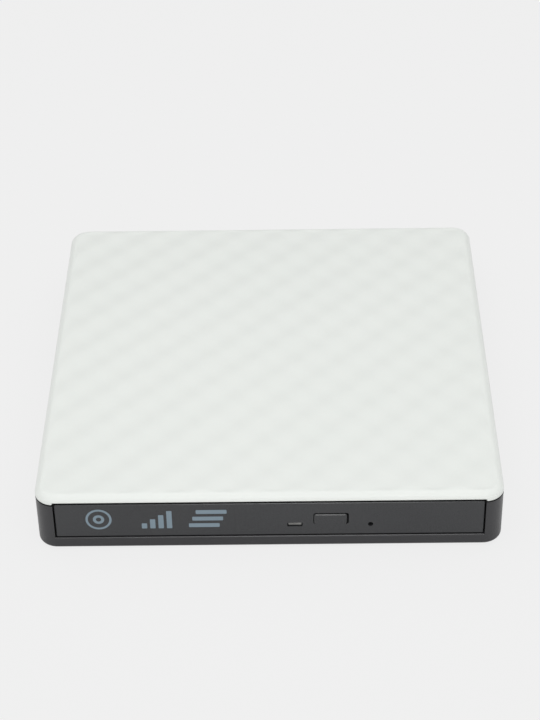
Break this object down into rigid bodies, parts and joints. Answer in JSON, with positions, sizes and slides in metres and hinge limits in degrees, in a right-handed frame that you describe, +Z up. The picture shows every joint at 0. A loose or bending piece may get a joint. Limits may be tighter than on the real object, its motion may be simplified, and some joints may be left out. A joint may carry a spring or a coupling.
{
  "type": "external optical disc drive",
  "caption": "Flat portable disc drive: charcoal case, pale quilted lid with rounded edges, and a front tray with eject button, light and disc hub that slides out on rails.",
  "frame": {"origin": "centre of the outer footprint, on the plane of the feet", "axes": "+Z up out of the lid, +Y from the tray front to the rear socket, +X to the right of a user who faces the tray"},
  "size_m": [0.14, 0.145, 0.021],
  "materials": {
    "lid_plastic": "satin, fine quilted relief",
    "case_plastic": "satin moulded",
    "bezel_plastic": "satin moulded",
    "foot_rubber": "matt",
    "steel_sheet": "plated sheet",
    "screw_steel": "plated",
    "circuit_board": "solder mask",
    "chip_black": "matt moulded",
    "connector_black": "moulded",
    "socket_steel": "plated",
    "guide_plastic": "natural acetal",
    "rail_steel": "plated strip",
    "rod_steel": "ground and polished",
    "tray_plastic": "fine grained",
    "light_bar": "frosted light pipe",
    "ribbon_film": "polyimide film",
    "frame_metal": "die cast",
    "damper_rubber": "matt",
    "coil_copper": "enamelled winding",
    "motor_can": "drawn can",
    "hub_plastic": "moulded",
    "claw_plastic": "natural acetal",
    "switch_plastic": "moulded",
    "lens_glass": "coated lens",
    "spring_steel": "wound wire"
  },
  "bodies": {
    "case": {"bottom_case": "case_plastic", "top_cover": "lid_plastic", "rubber_feet": "foot_rubber", "case_screws": "screw_steel", "bridge_board": "circuit_board", "bridge_board_chips": "chip_black", "board_screws": "screw_steel", "sata_socket": "connector_black", "usb_shell": "socket_steel", "usb_tongue": "connector_black", "drive_pan": "steel_sheet", "drive_top_plate": "steel_sheet", "drive_screws": "screw_steel", "left_rail_guide": "guide_plastic", "right_rail_guide": "guide_plastic", "main_board": "circuit_board", "main_board_chips": "chip_black", "drive_sata_plug": "connector_black", "latch_post": "rod_steel", "tray_ribbon": "ribbon_film"},
    "rails": {"left_rail": "rail_steel", "right_rail": "rail_steel"},
    "tray": {"disc_tray": "tray_plastic", "tray_bezel": "bezel_plastic", "activity_lens": "light_bar", "front_board": "circuit_board", "eject_switch": "switch_plastic", "status_led": "light_bar", "tray_cover": "steel_sheet", "tray_screws": "screw_steel", "traverse_frame": "frame_metal", "traverse_dampers": "damper_rubber", "traverse_screws": "screw_steel", "traverse_cover": "steel_sheet", "spindle_base": "frame_metal", "spindle_stator": "coil_copper", "main_guide_rod": "rod_steel", "aux_guide_rod": "rod_steel", "feed_motor": "motor_can", "latch_solenoid": "coil_copper", "ejector_spring": "spring_steel"},
    "button": {"eject_button": "bezel_plastic"},
    "turntable": {"spindle_rotor": "motor_can", "turntable_ring": "damper_rubber", "clamp_hub": "hub_plastic"},
    "claw_1": {"disc_claw_1": "claw_plastic"},
    "claw_2": {"disc_claw_2": "claw_plastic"},
    "claw_3": {"disc_claw_3": "claw_plastic"},
    "screw": {"feed_screw": "rod_steel"},
    "pickup": {"pickup_body": "frame_metal", "pickup_cover": "hub_plastic", "feed_finger": "claw_plastic"},
    "lens": {"objective_lens": "lens_glass", "lens_holder": "hub_plastic"},
    "latch": {"latch_hook": "claw_plastic"},
    "ejector": {"ejector_rod": "rod_steel"}
  },
  "joints": [
    {"name": "tray_slide", "type": "slide", "parent": "case", "child": "tray", "axis": [0, -1, 0], "range_m": [0, 0.126], "deforming": ["tray_ribbon"]},
    {"name": "rail_slide", "type": "slide", "parent": "case", "child": "rails", "axis": [0, -1, 0], "range_m": [0, 0.063]},
    {"name": "eject_button_press", "type": "slide", "parent": "tray", "child": "button", "axis": [0, 1, 0], "range_m": [0, 0.0008], "stiffness_N_per_m": 800},
    {"name": "turntable_spin", "type": "hinge", "parent": "tray", "child": "turntable", "pos_m": [0, -0.0073, 0.0133], "axis": [0, 0, 1], "continuous": true},
    {"name": "claw_1_slide", "type": "slide", "parent": "turntable", "child": "claw_1", "axis": [-0.7071, -0.7071, 0], "range_m": [-0.0006, 0], "stiffness_N_per_m": 300},
    {"name": "claw_2_slide", "type": "slide", "parent": "turntable", "child": "claw_2", "axis": [0.9659, -0.2588, 0], "range_m": [-0.0006, 0], "stiffness_N_per_m": 300},
    {"name": "claw_3_slide", "type": "slide", "parent": "turntable", "child": "claw_3", "axis": [-0.2588, 0.9659, 0], "range_m": [-0.0006, 0], "stiffness_N_per_m": 300},
    {"name": "pickup_slide", "type": "slide", "parent": "tray", "child": "pickup", "axis": [-0.7071, -0.7071, 0], "range_m": [0, 0.034]},
    {"name": "feed_screw_spin", "type": "hinge", "parent": "tray", "child": "screw", "pos_m": [-0.03995, -0.01967, 0.0095], "axis": [-0.7071, -0.7071, 0], "range_deg": [0, 3062]},
    {"name": "lens_focus", "type": "slide", "parent": "pickup", "child": "lens", "axis": [0, 0, 1], "range_m": [-0.0004, 0.0004], "stiffness_N_per_m": 100},
    {"name": "latch_swing", "type": "hinge", "parent": "tray", "child": "latch", "pos_m": [0.049, -0.04, 0.0081], "axis": [0, 0, 1], "range_deg": [-12, 0]},
    {"name": "ejector_slide", "type": "slide", "parent": "tray", "child": "ejector", "axis": [0, 1, 0], "range_m": [0, 0.0121], "deforming": ["ejector_spring"]}
  ],
  "couplings": [
    {"joint": "rail_slide", "follows": "tray_slide", "ratio": 0.5},
    {"joint": "ejector_slide", "follows": "tray_slide", "ratio": 0.095238},
    {"joint": "claw_2_slide", "follows": "claw_1_slide", "ratio": 1},
    {"joint": "claw_3_slide", "follows": "claw_1_slide", "ratio": 1},
    {"joint": "feed_screw_spin", "follows": "pickup_slide", "rad_per_m": 1570.8}
  ]
}
